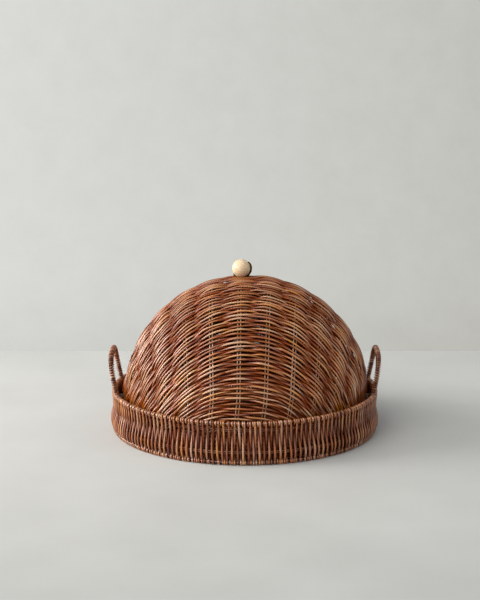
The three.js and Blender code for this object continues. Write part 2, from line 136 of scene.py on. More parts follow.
def add_node(
    tree: NodeTree,
    kind: str,
    sockets: dict[str, Any] | Sequence[Any] = (),
    ramp: Sequence[tuple[float, str]] = (),
    **settings: Any,
) -> Node:
    """Adds a node with its settings, values and links.

    Args:
        tree: The node tree that gets the node.
        kind: The node's type name, after its first words ShaderNode.
        sockets: What feeds its inputs, by name or in order.
        ramp: Places and sRGB hex codes of a colour ramp's stops.
        settings: The node's own options.

    Returns:
        The new node.
    """
    node = tree.nodes.new(f"ShaderNode{kind}")
    for name, value in settings.items():
        setattr(node, name, value)
    for place, (position, code) in enumerate(ramp):
        stops = node.color_ramp.elements
        stop = stops[place] if place < 2 else stops.new(position)
        stop.position = position
        stop.color = linear(code)
    feed(tree, node, sockets)
    return node


def deselect() -> None:
    """Deselects everything."""
    bpy.ops.object.select_all(action="DESELECT")


def new_material(name: str) -> tuple[Material, NodeTree, Node]:
    """Makes a material with an empty principled shader.

    Args:
        name: The material's name.

    Returns:
        The material, its node tree and its shader node.
    """
    material = bpy.data.materials.new(name)
    material.use_nodes = True
    return material, material.node_tree, material.node_tree.nodes["Principled BSDF"]


@dataclass(frozen=True)
class CaneFinish:
    """Round rattan core, stained and lacquered: long fibres, uneven stain and a satin gloss.

    The stain takes differently on each strand, so every strand has its own shade, and it pools
    along the fibres in streaks a few centimetres long. Each strand's tone also carries painted shade
    in its recesses and down its sides and a painted highlight on its crests. The lacquer follows that
    tone: it shines on the strands' crests and is dull in the recesses.
    """

    name: str
    deep: str
    body: str
    light: str
    pale: str
    body_shade: float = 0.4
    light_shade: float = 0.75
    roughness: Pair = (0.28, 0.44)
    coat: float = 1.0
    coated: Pair = (0.2, 0.6)  # the shades between which the lacquer thickens
    hue: Pair = (0.493, 0.511)
    strength: Pair = (0.82, 1.28)
    tint_noise: Pair = (0.3, 0.7)  # the noise's usual range, for hue and strength
    fibre_width: float = 0.55  # drawn coarser than the real 0.2 mm, so that it shows
    fibre_depth: float = 0.05
    streak_length: float = 26.0
    streak_share: float = 0.3
    blotch_width: float = 25 / 3
    blotch_length: float = 44.0
    blotch_share: float = 0.7

    def make(self) -> Material:
        """Builds the material from each strand's own tone and grain.

        Returns:
            The material.
        """
        material, tree, shader = new_material(self.name)
        grain = add_node(tree, "Attribute", attribute_name="grain").outputs["Vector"]
        # the tone holds each strand's own tone with painted shade in its recesses and down its sides and a
        # painted highlight on its crests
        shade = add_node(tree, "Attribute", attribute_name="tone").outputs["Fac"]
        patterns = []
        for length, width, share, detail, roughness in (
            (self.blotch_length, self.blotch_width, self.blotch_share, 2.0, 0.5),
            (self.streak_length, self.fibre_width, self.streak_share, 3.0, 0.6),
        ):
            size = (1 / length, 1 / width, 1 / width)
            place = add_node(tree, "VectorMath", (grain, size), operation="MULTIPLY")
            look = {"Vector": place, "Scale": 1.0, "Detail": detail, "Roughness": roughness}
            patterns.append(add_node(tree, "TexNoise", look))
            swing = add_node(tree, "Math", (patterns[-1], share, -share / 2), operation="MULTIPLY_ADD")
            shade = add_node(tree, "Math", (shade, swing), operation="ADD")
        shade.use_clamp = True
        blotch, fibre = patterns
        ends = [(0.0, self.deep), (1.0, self.pale)]
        between = [(self.body_shade, self.body), (self.light_shade, self.light)]
        colour = add_node(tree, "ValToRGB", (shade,), ramp=ends + between)
        shares = add_node(tree, "SeparateColor", (blotch.outputs["Color"],)).outputs
        hue = add_node(tree, "MapRange", (shares["Green"], *self.tint_noise, *self.hue))
        strength = add_node(tree, "MapRange", (shares["Blue"], *self.tint_noise, *self.strength))
        tint = {"Hue": hue, "Saturation": strength, "Color": colour}
        relief = {"Height": fibre, "Strength": 0.6, "Distance": self.fibre_depth * MM}
        looks = {
            "Base Color": add_node(tree, "HueSaturation", tint),
            "Roughness": add_node(tree, "MapRange", (fibre, 0.0, 1.0, *self.roughness)),
            "Normal": add_node(tree, "Bump", relief),
            "IOR": 1.5,
            "Specular IOR Level": 0.2,
            "Coat IOR": 1.8,
            "Coat Roughness": 0.22,
        }
        if self.coat:
            looks["Coat Weight"] = add_node(tree, "MapRange", (shade, *self.coated, 0.0, self.coat))
        feed(tree, shader, looks)
        return material


@dataclass(frozen=True)
class TurnedFinish:
    """Turned wood: a close grain drawn out along the fibre, fine flecks and a soft sheen."""

    name: str
    light: str
    dark: str
    light_shade: float = 0.3
    dark_shade: float = 0.75
    grain: Spot = (9.0, 4.0, 4.0)
    fleck: float = 0.8
    fleck_depth: float = 0.05
    roughness: float = 0.4

    def make(self) -> Material:
        """Builds the wood.

        Returns:
            The material.
        """
        material, tree, shader = new_material(self.name)
        place = add_node(tree, "TexCoord").outputs["Object"]
        size = [1 / (length * MM) for length in self.grain]
        drawn = add_node(tree, "Mapping", {"Vector": place, "Scale": size})
        close = {"Vector": drawn, "Scale": 1.0, "Detail": 4.0, "Distortion": 0.4}
        figure = add_node(tree, "TexNoise", close)
        fleck = add_node(tree, "TexNoise", {"Vector": place, "Scale": 1 / (self.fleck * MM), "Detail": 2.0})
        stops = [(self.light_shade, self.light), (self.dark_shade, self.dark)]
        colour = add_node(tree, "ValToRGB", (figure,), ramp=stops)
        relief = {"Height": fleck, "Strength": 0.12, "Distance": self.fleck_depth * MM}
        bump = add_node(tree, "Bump", relief)
        feed(tree, shader, {"Base Color": colour, "Normal": bump, "Roughness": self.roughness, "IOR": 1.48})
        return material


@dataclass(frozen=True)
class PlasterFinish:
    """Matt limewashed board: almost even, with soft cloudy marks from the brush, and darker in front as
    painted shade.
    """

    name: str
    light: str
    dark: str
    cloud: float = 160.0
    grit: float = 4.0
    grit_depth: float = 0.4
    # painted shade: the board gets darker from back to front over this span, by fade either way
    front: float = -620.0
    back: float = 300.0
    fade: float = 0.4
    roughness: float = 0.85

    def make(self) -> Material:
        """Builds the pale stage finish.

        Returns:
            The material.
        """
        material, tree, shader = new_material(self.name)
        place = add_node(tree, "TexCoord").outputs["Object"]
        cloud = add_node(tree, "TexNoise", {"Vector": place, "Scale": 1 / (self.cloud * MM), "Detail": 5.0})
        grit = add_node(tree, "TexNoise", {"Vector": place, "Scale": 1 / (self.grit * MM), "Detail": 2.0})
        depth = add_node(tree, "SeparateXYZ", (place,)).outputs["Y"]
        reach = (self.front * MM, self.back * MM)
        # painted shade, darker towards the front
        fade = add_node(tree, "MapRange", (depth, *reach, -self.fade, self.fade))
        shade = add_node(tree, "Math", (cloud, fade), operation="ADD")
        colour = add_node(tree, "ValToRGB", (shade,), ramp=[(0.0, self.dark), (1.0, self.light)])
        relief = {"Height": grit, "Strength": 0.1, "Distance": self.grit_depth * MM}
        bump = add_node(tree, "Bump", relief)
        feed(tree, shader, {"Base Color": colour, "Normal": bump, "Roughness": self.roughness})
        return material


@dataclass(frozen=True)
class Finishes:
    """The basket's finishes, each made once."""

    weft: Material
    wall: Material
    stake: Material
    rod: Material
    twine: Material
    bead: Material
    peg: Material

    @classmethod
    def make(cls) -> Finishes:
        """Builds every finish of the basket.

        Returns:
            The set of finishes.
        """
        weft = CaneFinish("stained_rattan_weft", "#68290A", "#864013", "#A5602B", "#C08C66")
        wall = CaneFinish("stained_rattan_wall", "#481907", "#723410", "#975426", "#B8835F")
        stake = CaneFinish("pale_rattan_stake", "#5A3A28", "#9A7050", "#C8A488", "#E4CCB4")
        rod = CaneFinish("dark_rattan_rod", "#2C140C", "#55291A", "#743F22", "#8E5732")
        twine = CaneFinish(
            "waxed_cotton_twine",
            "#2A1A0E",
            "#4C3420",
            "#5E442C",
            "#705438",
            roughness=(0.6, 0.8),
            coat=0.0,
            fibre_width=0.3,
            streak_length=3.0,
        )
        bead = TurnedFinish("turned_maple", "#E6CFB0", "#D8B488")
        peg = TurnedFinish("turned_walnut", "#6A4028", "#3C2014", roughness=0.5)
        return cls(*(finish.make() for finish in (weft, wall, stake, rod, twine, bead, peg)))


@dataclass(frozen=True)
class Shades:
    """The tones that strands are drawn from: about a middle one, and kept off the extremes."""

    middle: float
    spread: float
    deepest: float = 0.05
    palest: float = 0.95

    def draw(self, rng: np.random.Generator, count: int | None = None) -> np.ndarray:
        """Draws one tone or, with a count, a row of them."""
        return np.clip(rng.normal(self.middle, self.spread, count), self.deepest, self.palest)


def unit(rows: np.ndarray) -> np.ndarray:
    """Scales each row to length one."""
    return rows / np.linalg.norm(rows, axis=1, keepdims=True)


def around(radius: Reals, angle: Reals, height: Reals) -> np.ndarray:
    """Places points round the tray's middle, at angles in radians."""
    return np.column_stack(np.broadcast_arrays(radius * np.cos(angle), radius * np.sin(angle), height))


def travelled(path: np.ndarray) -> np.ndarray:
    """Measures the way along a path to each of its points."""
    return np.concatenate([[0.0], np.cumsum(np.linalg.norm(np.diff(path, axis=0), axis=1))])


def resample(path: np.ndarray, spacing: float) -> np.ndarray:
    """Spaces a path's points evenly.

    Args:
        path: Points in millimetres, with any further columns to carry along.
        spacing: The distance wanted between points.

    Returns:
        The evenly spaced points.
    """
    travel = travelled(path[:, :3])
    pieces = max(FEWEST_PIECES, int(round(travel[-1] / spacing)))
    marks = np.linspace(0.0, travel[-1], pieces + 1)
    return np.stack([np.interp(marks, travel, column) for column in path.T], axis=1)


def rounded(points: Sequence[Sequence[float]], steps: int) -> np.ndarray:
    """Runs a smooth curve through points.

    Args:
        points: The points that it passes.
        steps: The pieces between two points.

    Returns:
        Points along the curve.
    """
    knots = np.asarray(points, float)
    padded = np.vstack([2 * knots[0] - knots[1], knots, 2 * knots[-1] - knots[-2]])
    share = np.linspace(0.0, 1.0, steps, endpoint=False)[:, None]
    spans = []
    for place in range(len(knots) - 1):
        before, start, end, after = padded[place : place + 4]
        spans.append(
            start
            + share * (end - before) / 2
            + share**2 * (2 * before - 5 * start + 4 * end - after) / 2
            + share**3 * (3 * (start - end) + after - before) / 2
        )
    return np.vstack([*spans, knots[-1:]])


def wind(
    path: np.ndarray, facing: np.ndarray, radius: float, loops: float, steps: int, start: float = 0.0
) -> tuple[np.ndarray, np.ndarray]:
    """Winds a line round a path.

    Args:
        path: The path's points in millimetres.
        facing: The way from which each loop's angle counts, at each point or for all.
        radius: The winding's radius.
        loops: How many times it goes round.
        steps: The points in a loop.
        start: The angle that it starts at, in radians.

    Returns:
        The winding's points, and the way out from the path at each.
    """
    share = np.linspace(0.0, 1.0, int(loops * steps) + 1)
    columns = np.hstack([path, np.broadcast_to(facing, path.shape)]).T
    place = share * (len(path) - 1)
    laid = np.stack([np.interp(place, np.arange(len(path)), column) for column in columns], axis=1)
    along = unit(np.gradient(laid[:, :3], axis=0))
    flank = unit(np.cross(along, laid[:, 3:]))
    up = np.cross(flank, along)
    angle = (start + 2 * np.pi * loops * share)[:, None]
    lift = np.cos(angle) * up + np.sin(angle) * flank
    return laid[:, :3] + radius * lift, lift


@dataclass
class Strands:
    """Strands gathered into one mesh, each a closed tube with its own tone and grain."""

    name: str
    sides: int = 6
    painted_side_shade: float = 0.6  # painted shade: how much darker the colour gets down a strand's sides and underneath, where shade falls between strands
    grain_step: float = 613.0  # from strand to strand, so that no two show the same grain
    corners: list[np.ndarray] = field(default_factory=list)
    quads: list[np.ndarray] = field(default_factory=list)
    caps: list[np.ndarray] = field(default_factory=list)
    tones: list[np.ndarray] = field(default_factory=list)
    grains: list[np.ndarray] = field(default_factory=list)
    placed: int = 0

    def add(
        self,
        path: np.ndarray,
        outward: np.ndarray,
        half: Reals | tuple[Reals, Reals],
        tone: Reals,
        closed: bool = False,
    ) -> None:
        """Adds one strand.

        Args:
            path: The strand's middle line in millimetres, one point a row.
            outward: The way that the strand's flat faces, at each point or for all.
            half: Half its thickness along outward and half its width across, or one for both.
            tone: Its tone.
            closed: Whether its last point joins its first.
        """
        steps = len(path)
        thick, wide = half if isinstance(half, tuple) else (half, half)
        if closed:
            along = unit(np.roll(path, -1, axis=0) - np.roll(path, 1, axis=0))
        else:
            along = unit(np.gradient(path, axis=0))
        across = unit(np.cross(along, outward))
        up = np.cross(across, along)
        angle = np.arange(self.sides) * 2 * np.pi / self.sides
        high = np.cos(angle) * np.broadcast_to(thick, steps)[:, None]
        side = np.sin(angle) * np.broadcast_to(wide, steps)[:, None]
        rings = path[:, None, :] + high[..., None] * up[:, None, :] + side[..., None] * across[:, None, :]
        run = travelled(path)[:, None] + self.grain_step * len(self.corners)
        grain = np.stack([np.broadcast_to(run, high.shape), high, side], axis=-1)
        ring = np.arange(steps if closed else steps - 1)[:, None]
        corner = np.arange(self.sides)[None, :]
        beside = (corner + 1) % self.sides
        here = self.placed + ring * self.sides
        ahead = self.placed + (ring + 1) % steps * self.sides
        quads = [here + corner, here + beside, ahead + beside, ahead + corner]
        self.quads.append(np.stack(quads, axis=-1).reshape(-1, 4))
        if not closed:
            self.caps.append(self.placed + np.arange(self.sides)[::-1])
            self.caps.append(self.placed + (steps - 1) * self.sides + np.arange(self.sides))
        self.corners.append(rings.reshape(-1, 3))
        # painted shade down each strand's sides, fullest underneath, taken off its tone
        shade = np.broadcast_to(tone, steps)[:, None] - self.painted_side_shade * (1 - np.cos(angle)) / 2
        self.tones.append(shade.ravel())
        self.grains.append(grain.reshape(-1, 3))
        self.placed += steps * self.sides

    def build(self, finish: Material) -> Object:
        """Makes the strands one object in the scene.

        Args:
            finish: The strands' material.

        Returns:
            The object, at the origin.
        """
        corners = np.concatenate(self.corners) * MM
        faces = np.concatenate(self.quads)
        caps = np.concatenate(self.caps) if self.caps else np.zeros(0, int)
        mesh = bpy.data.meshes.new(self.name)
        mesh.vertices.add(len(corners))
        mesh.vertices.foreach_set("co", corners.astype(np.float32).ravel())
        mesh.loops.add(faces.size + caps.size)
        mesh.loops.foreach_set("vertex_index", np.concatenate([faces.ravel(), caps]).astype(np.int32))
        cap_starts = faces.size + np.arange(0, caps.size, self.sides)
        starts = np.concatenate([np.arange(0, faces.size, 4), cap_starts])
        mesh.polygons.add(len(starts))
        mesh.polygons.foreach_set("loop_start", starts.astype(np.int32))
        mesh.update(calc_edges=True)
        mesh.polygons.foreach_set("use_smooth", np.ones(len(starts), bool))
        # the tone layer holds each strand's own tone with the painted side shade, and for weft and wall
        # strands the painted light and shade of their relief
        layers = (("tone", "FLOAT", "value", self.tones), ("grain", "FLOAT_VECTOR", "vector", self.grains))
        for name, kind, part, rows in layers:
            layer = mesh.attributes.new(name, kind, "POINT")
            layer.data.foreach_set(part, np.concatenate(rows).astype(np.float32).ravel())
        mesh.materials.append(finish)
        made = bpy.data.objects.new(self.name, mesh)
        bpy.context.scene.collection.objects.link(made)
        return made


def seat(piece: Object, body: Body, slot: str, *nodes: str) -> None:
    """Puts a piece on its body, in place of the nodes that it stands for, and reports it.

    Args:
        piece: The finished piece.
        body: The body that it moves with.
        slot: The record's material slot; not used.
        nodes: The nodes that it replaces.
    """
    if nodes:
        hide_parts(*nodes)
    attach(piece, body.value)
    LOG.info("%s: %d faces on %s", piece.name, len(piece.data.polygons), body.value)


@dataclass
class Hood:
    """A woven hood: weft strands over pairs of thin stakes, with a twined top edge and a wrapped foot."""

    name: str
    facing: Facing
    body: Body
    radius: float
    top_turn: float
    low_turn: float
    eye_inner: float
    eye_outer: float
    seed: int
    wave: float = 2.8
    wave_sizes: Pair = (0.55, 1.08)
    uneven: float = 0.26
    strand: float = 2.6
    strand_sizes: Pair = (0.84, 1.1)
    flat: float = 1.12
    girth: float = 0.1
    girth_sizes: Pair = (0.8, 1.2)
    tones: Shades = Shades(0.5, 0.2, 0.1, 0.94)
    # painted shade and highlight: how much darker a weft strand is where it dives under a stake and paler
    # where it crosses over one
    painted_relief_shading: float = 0.5
    # the wave's share, out of one, at which that painted shading neither darkens nor lightens a strand
    crest: float = 0.3
    row_pitch: float = 3.15
    sample: float = 3.7
    side_reach: float = 88.0
    side_marks: int = 1409
    fewest_marks: int = 40
    edge: float = 4.9
    flatten: float = 0.15  # how much nearer to the top hoop the low rows run at the flanks
    spread: float = 0.46  # how much further from it the top rows run there
    level: float = 0.5  # how much nearer to it the low rows run beside the middle
    level_reach: float = 0.35
    lean: float = 0.05  # how much the low rows drop towards the right
    wander: float = 0.65
    slip: float = 0.12
    lift: float = 0.4
    lift_limit: float = 0.6
    calm: float = 0.5  # in stakes, until the weave lies flat outside the last one
    brow: float = 40.0  # how far below the top hoop the weave is evened out
    brow_wander: float = 0.7  # how much of the wander goes there
    brow_swing: float = 0.5  # how much of the wave goes there
    brow_stand: float = 0.45  # how many waves the rows stand out instead
    sway: Pair = (0.0, 0.0)  # how far the hood leans to the right and stands up
    sway_height: float = 38.0  # above the pivots, where it leans fully
    dent: Pair = (-5.0, 16.0)  # middle and reach of the place where the knob holds it down
    dent_share: float = 0.8
    stakes: int = 11
    stake_rod: float = 2.0
    stake_pair: float = 3.9
    stake_room: float = 1.5
    stake_marks: int = 40
    stake_sizes: Pair = (0.92, 1.05)
    stake_tones: Pair = (0.3, 0.8)
    stake_steps: Pair = (11.4, 14.2)  # between stakes in degrees, at the bottom hoop and the top one
    stake_shifts: Pair = (-3.2, -2.3)  # of the middle stake, likewise
    hoop_end: float = 1.0  # outside the eyes at the top edge, and inside them at the foot
    border_spacing: float = 2.5
    border_rod: float = 2.2
    border_ply: float = 3.2
    border_swing: float = 2.0
    border_wave: Pair = (0.45, 0.5)  # how far the plies swing and stand out, in waves
    border_tones: Spot = (0.3, 0.42, 0.54)
    foot: float = 3.6
    foot_spacing: float = 3.0
    foot_rod: float = 3.0
    foot_strip: Pair = (0.6, 1.25)
    foot_pitch: float = 2.7
    foot_steps: int = 8
    foot_tones: Spot = (0.35, 0.5, 0.45)
    peg: float = 5.2
    eye_radius: float = 8.0
    eye_rod: float = 4.6
    eye_margin: float = 2.4
    eye_loops: float = 2.0
    eye_steps: int = 16

    @property
    def middle(self) -> float:
        """The radius that the stakes lie on."""
        return self.radius - self.wave - self.strand / 2

    @property
    def reach(self) -> float:
        """The weave's length along the middle stake."""
        return math.radians(self.top_turn - self.low_turn) * self.middle

    def point(self, side: np.ndarray, turn: Reals, radius: Reals) -> np.ndarray:
        """Places points on the hood, which leans towards its top and dips at the knob.

        Args:
            side: Angles towards +X in radians.
            turn: Angles from the horizon up and over in radians.
            radius: Distances from the middle of the hood.

        Returns:
            The points in millimetres.
        """
        level = np.cos(side)
        spread = np.broadcast_to(turn, level.shape)
        way = np.stack(
            [np.sin(side), self.facing.value * level * np.cos(spread), level * np.sin(spread)], axis=-1
        )
        spot = way * np.broadcast_to(radius, level.shape)[:, None]
        held = np.exp(-((spot[:, 0] - self.dent[0]) ** 2 + spot[:, 1] ** 2) / self.dent[1] ** 2)
        rise = np.clip(spot[:, 2] / self.sway_height, 0.0, 1.0) ** 2
        right, up = self.sway
        moved = np.column_stack([right * rise, 0 * rise, up * rise * (1 - self.dent_share * held)])
        return spot + moved + [0.0, 0.0, PIVOT_HEIGHT]

    def outward(self, path: np.ndarray) -> np.ndarray:
        """Gives the way out of the hood at each point."""
        return unit(path - [0.0, 0.0, PIVOT_HEIGHT])

    def fan(self, share: np.ndarray) -> tuple[np.ndarray, np.ndarray]:
        """Gives the stakes' step and shift in degrees, at shares of the way up the hood."""
        step, shift = (low + (top - low) * share for low, top in (self.stake_steps, self.stake_shifts))
        return step, shift

    def stake_place(self, side: np.ndarray, turn: Reals) -> np.ndarray:
        """Counts the stakes from the middle one to each point, given as side and turn in radians."""
        step, shift = self.fan((np.degrees(turn) - self.low_turn) / (self.top_turn - self.low_turn))
        return (np.degrees(side) - shift) / step

    def row(self, drop: float) -> np.ndarray:
        """Follows one weft row.

        At the flanks the top rows run further from the top hoop than in the middle, and the low ones nearer.

        Args:
            drop: The distance from the top hoop along the middle stake.

        Returns:
            Side and turn in radians at even spacing, or nothing where the row is too short.
        """
        side = np.radians(np.linspace(-self.side_reach, self.side_reach, self.side_marks))
        level = self.middle * np.cos(side)
        across = np.sin(side)
        depth = drop / self.reach
        near = np.exp(-((across / self.level_reach) ** 2))
        sag = self.flatten * depth - self.spread * (1 - depth) + self.level * depth**3 * near
        settle = 1 - sag * across**2 + self.lean * depth * across
        turn = math.radians(self.top_turn) - drop * settle / level
        above = turn > math.radians(self.low_turn) + self.foot / level
        kept = above & (level > self.eye_radius + self.strand)
        if kept.sum() < self.fewest_marks:
            return np.zeros((0, 2))
        laid = self.point(side[kept], turn[kept], self.middle)
        return resample(np.column_stack([laid, side[kept], turn[kept]]), self.sample)[:, 3:]

    def weave(self) -> Strands:
        """Weaves the weft rows, each over one stake and under the next.

        Returns:
            The weft.
        """
        rng = np.random.default_rng(self.seed)
        strands = Strands(f"{self.name}_strands", sides=8)
        outer = self.stakes / 2
        marks = np.arange(-self.stakes, self.stakes + 1) / 2
        for order in range(int((self.reach - self.edge - self.foot) / self.row_pitch) + 1):
            drop = self.edge + order * self.row_pitch
            even = max(0.0, 1 - drop / self.brow)
            side, turn = self.row(drop).T
            draws = rng.normal(0.0, 1.0, (4, len(marks)))
            half = self.strand / 2 * rng.uniform(*self.strand_sizes)
            lift = np.clip(rng.normal(0.0, self.lift), -self.lift_limit, self.lift_limit)
            tones = self.tones.draw(rng, 3)
            joins = np.sort(rng.uniform(-outer, outer, 2))
            if not len(side):
                continue
            place = self.stake_place(side, turn)
            stray, slip, swell, girth = (np.interp(place, marks, row) for row in draws)
            wander = self.wander * (1 - self.brow_wander * even)
            turn = turn + wander * stray / (self.middle * np.cos(side))
            calm = np.clip((outer + self.calm - np.abs(place)) / self.calm, 0.0, 1.0)
            swing = np.cos(np.pi * (place + order + self.slip * slip)) * calm
            size = np.clip(1 + self.uneven * swell, *self.wave_sizes)
            stand = size * (swing * (1 - self.brow_swing * even) + self.brow_stand * even * calm)
            path = self.point(side, turn, self.middle + lift + self.wave * stand)
            # painted shade where the strand dives under a stake and a painted highlight on its crests, added
            # to the tone drawn for its stretch
            tone = tones[np.searchsorted(joins, place)] + self.painted_relief_shading * (swing - self.crest)
            thick = half * np.clip(1 + self.girth * girth, *self.girth_sizes)
            strands.add(path, self.outward(path), (thick, thick * self.flat), tone)
        return strands

    def stake_pairs(self) -> Strands:
        """Lays a pair of thin rods along each stake's line.

        Returns:
            The stakes.
        """
        rng = np.random.default_rng(self.seed + 1)
        rods = Strands(f"{self.name}_stake_pairs")
        share = np.linspace(0.0, 1.0, self.stake_marks)
        step, shift = self.fan(share)
        for order in range(self.stakes):
            for twin in (-0.5, 0.5):
                way = order - (self.stakes - 1) / 2
                side = np.radians(way * step + shift) + twin * self.stake_pair / self.middle
                room = self.stake_room / (self.middle * np.cos(side))
                low = math.radians(self.low_turn) + room
                turn = low + (math.radians(self.top_turn) - room - low) * share
                path = self.point(side, turn, self.middle)
                half = self.stake_rod / 2 * rng.uniform(*self.stake_sizes)
                rods.add(path, self.outward(path), half, rng.uniform(*self.stake_tones))
        return rods

    def arc(self, turn: float, from_axis: float, spacing: float) -> np.ndarray:
        """Follows an edge hoop's middle from the left end to the right one.

        Args:
            turn: The hoop's turn in degrees.
            from_axis: How near the pivot axis it ends.
            spacing: The distance between points.

        Returns:
            Points in millimetres.
        """
        reach = math.acos(from_axis / self.middle)
        side = np.linspace(-reach, reach, int(2 * reach * self.middle / spacing))
        return self.point(side, math.radians(turn), self.middle)

    def twined_edge(self) -> Strands:
        """Twines two strands along the top hoop, so that they cross between the stakes.

        Returns:
            The border.
        """
        edge = Strands(f"{self.name}_border", sides=8)
        path = self.arc(self.top_turn, self.eye_radius + self.hoop_end, self.border_spacing)
        out = self.outward(path)
        rod_tone, *ply_tones = self.border_tones
        edge.add(path, out, self.border_rod / 2, rod_tone)
        flank = unit(np.cross(np.gradient(path, axis=0), out))
        side = np.arcsin(np.clip((path[:, 0] - self.sway[0]) / self.middle, -1.0, 1.0))
        place = self.stake_place(side, math.radians(self.top_turn))
        swing, stand = self.border_wave
        for ply, tone in enumerate(ply_tones):
            angle = np.pi * (place + ply)[:, None]
            lift = self.wave * (swing * np.cos(angle) + stand) * out
            aside = self.border_swing * np.sin(angle) * flank
            edge.add(path + (lift + aside), out, self.border_ply / 2, tone)
        return edge

    def wrapped_foot(self) -> Strands:
        """Winds a strand round the bottom hoop and coils the hoop's ends round the pegs.

        Returns:
            The foot.
        """
        foot = Strands(f"{self.name}_foot")
        path = self.arc(self.low_turn, self.eye_radius - self.hoop_end, self.foot_spacing)
        out = self.outward(path)
        rod_tone, strip_tone, eye_tone = self.foot_tones
        foot.add(path, out, self.foot_rod / 2, rod_tone)
        loops = int(len(path) * self.foot_spacing / self.foot_pitch)
        wraps, lift = wind(path, out, self.foot_rod / 2 + self.foot_strip[0], loops, self.foot_steps)
        foot.add(wraps, lift, self.foot_strip, strip_tone)
        ring = (self.eye_radius + self.peg / 2) / 2
        for sign in (-1, 1):
            run = np.array([self.eye_inner + self.eye_margin, self.eye_outer - self.eye_margin])
            axle = np.column_stack([sign * run, 0 * run, 0 * run + PIVOT_HEIGHT])
            coil, lift = wind(axle, UP, ring, self.eye_loops, self.eye_steps)
            foot.add(coil, lift, self.eye_rod / 2, eye_tone)
        return foot

    def make(self, finishes: Finishes) -> None:
        """Builds the hood, dresses it and puts its pieces on their body.

        Args:
            finishes: The basket's finishes.
        """
        stakes = [f"{self.name}_stake_{order + 1}" for order in range(self.stakes)]
        seat(self.weave().build(finishes.weft), self.body, "cane", f"{self.name}_weave")
        seat(self.stake_pairs().build(finishes.stake), self.body, "pale_cane", *stakes)
        seat(self.twined_edge().build(finishes.weft), self.body, "dark_cane", f"{self.name}_top_hoop")
        seat(self.wrapped_foot().build(finishes.rod), self.body, "dark_cane", f"{self.name}_bottom_hoop")


@dataclass(frozen=True)
class Hoop:
    """A rod at the wall's edge that the wall strands wrap round.

    Its ends give, for each of the two sets of strands, how far out from its middle they leave it and
    how much paler they are there: paler for the set that leaves further out, as painted light, and
    darker for the other, as painted shade.
    """

    radius: float
    height: float
    wrap: float
    turns: tuple[float, ...]
    # how much paler the strands are where they wrap round the rod
    stain: float
    ends: tuple[Pair, Pair]

    def bend(self, strip: Pair) -> list[tuple[float, ...]]:
        """Gives radius, height, half sizes and stain at each turn of a strand round the rod."""
        bends = [(math.cos(turn) * self.wrap, math.sin(turn) * self.wrap) for turn in np.radians(self.turns)]
        return [(self.radius + out, self.height + up, *strip, self.stain) for out, up in bends]


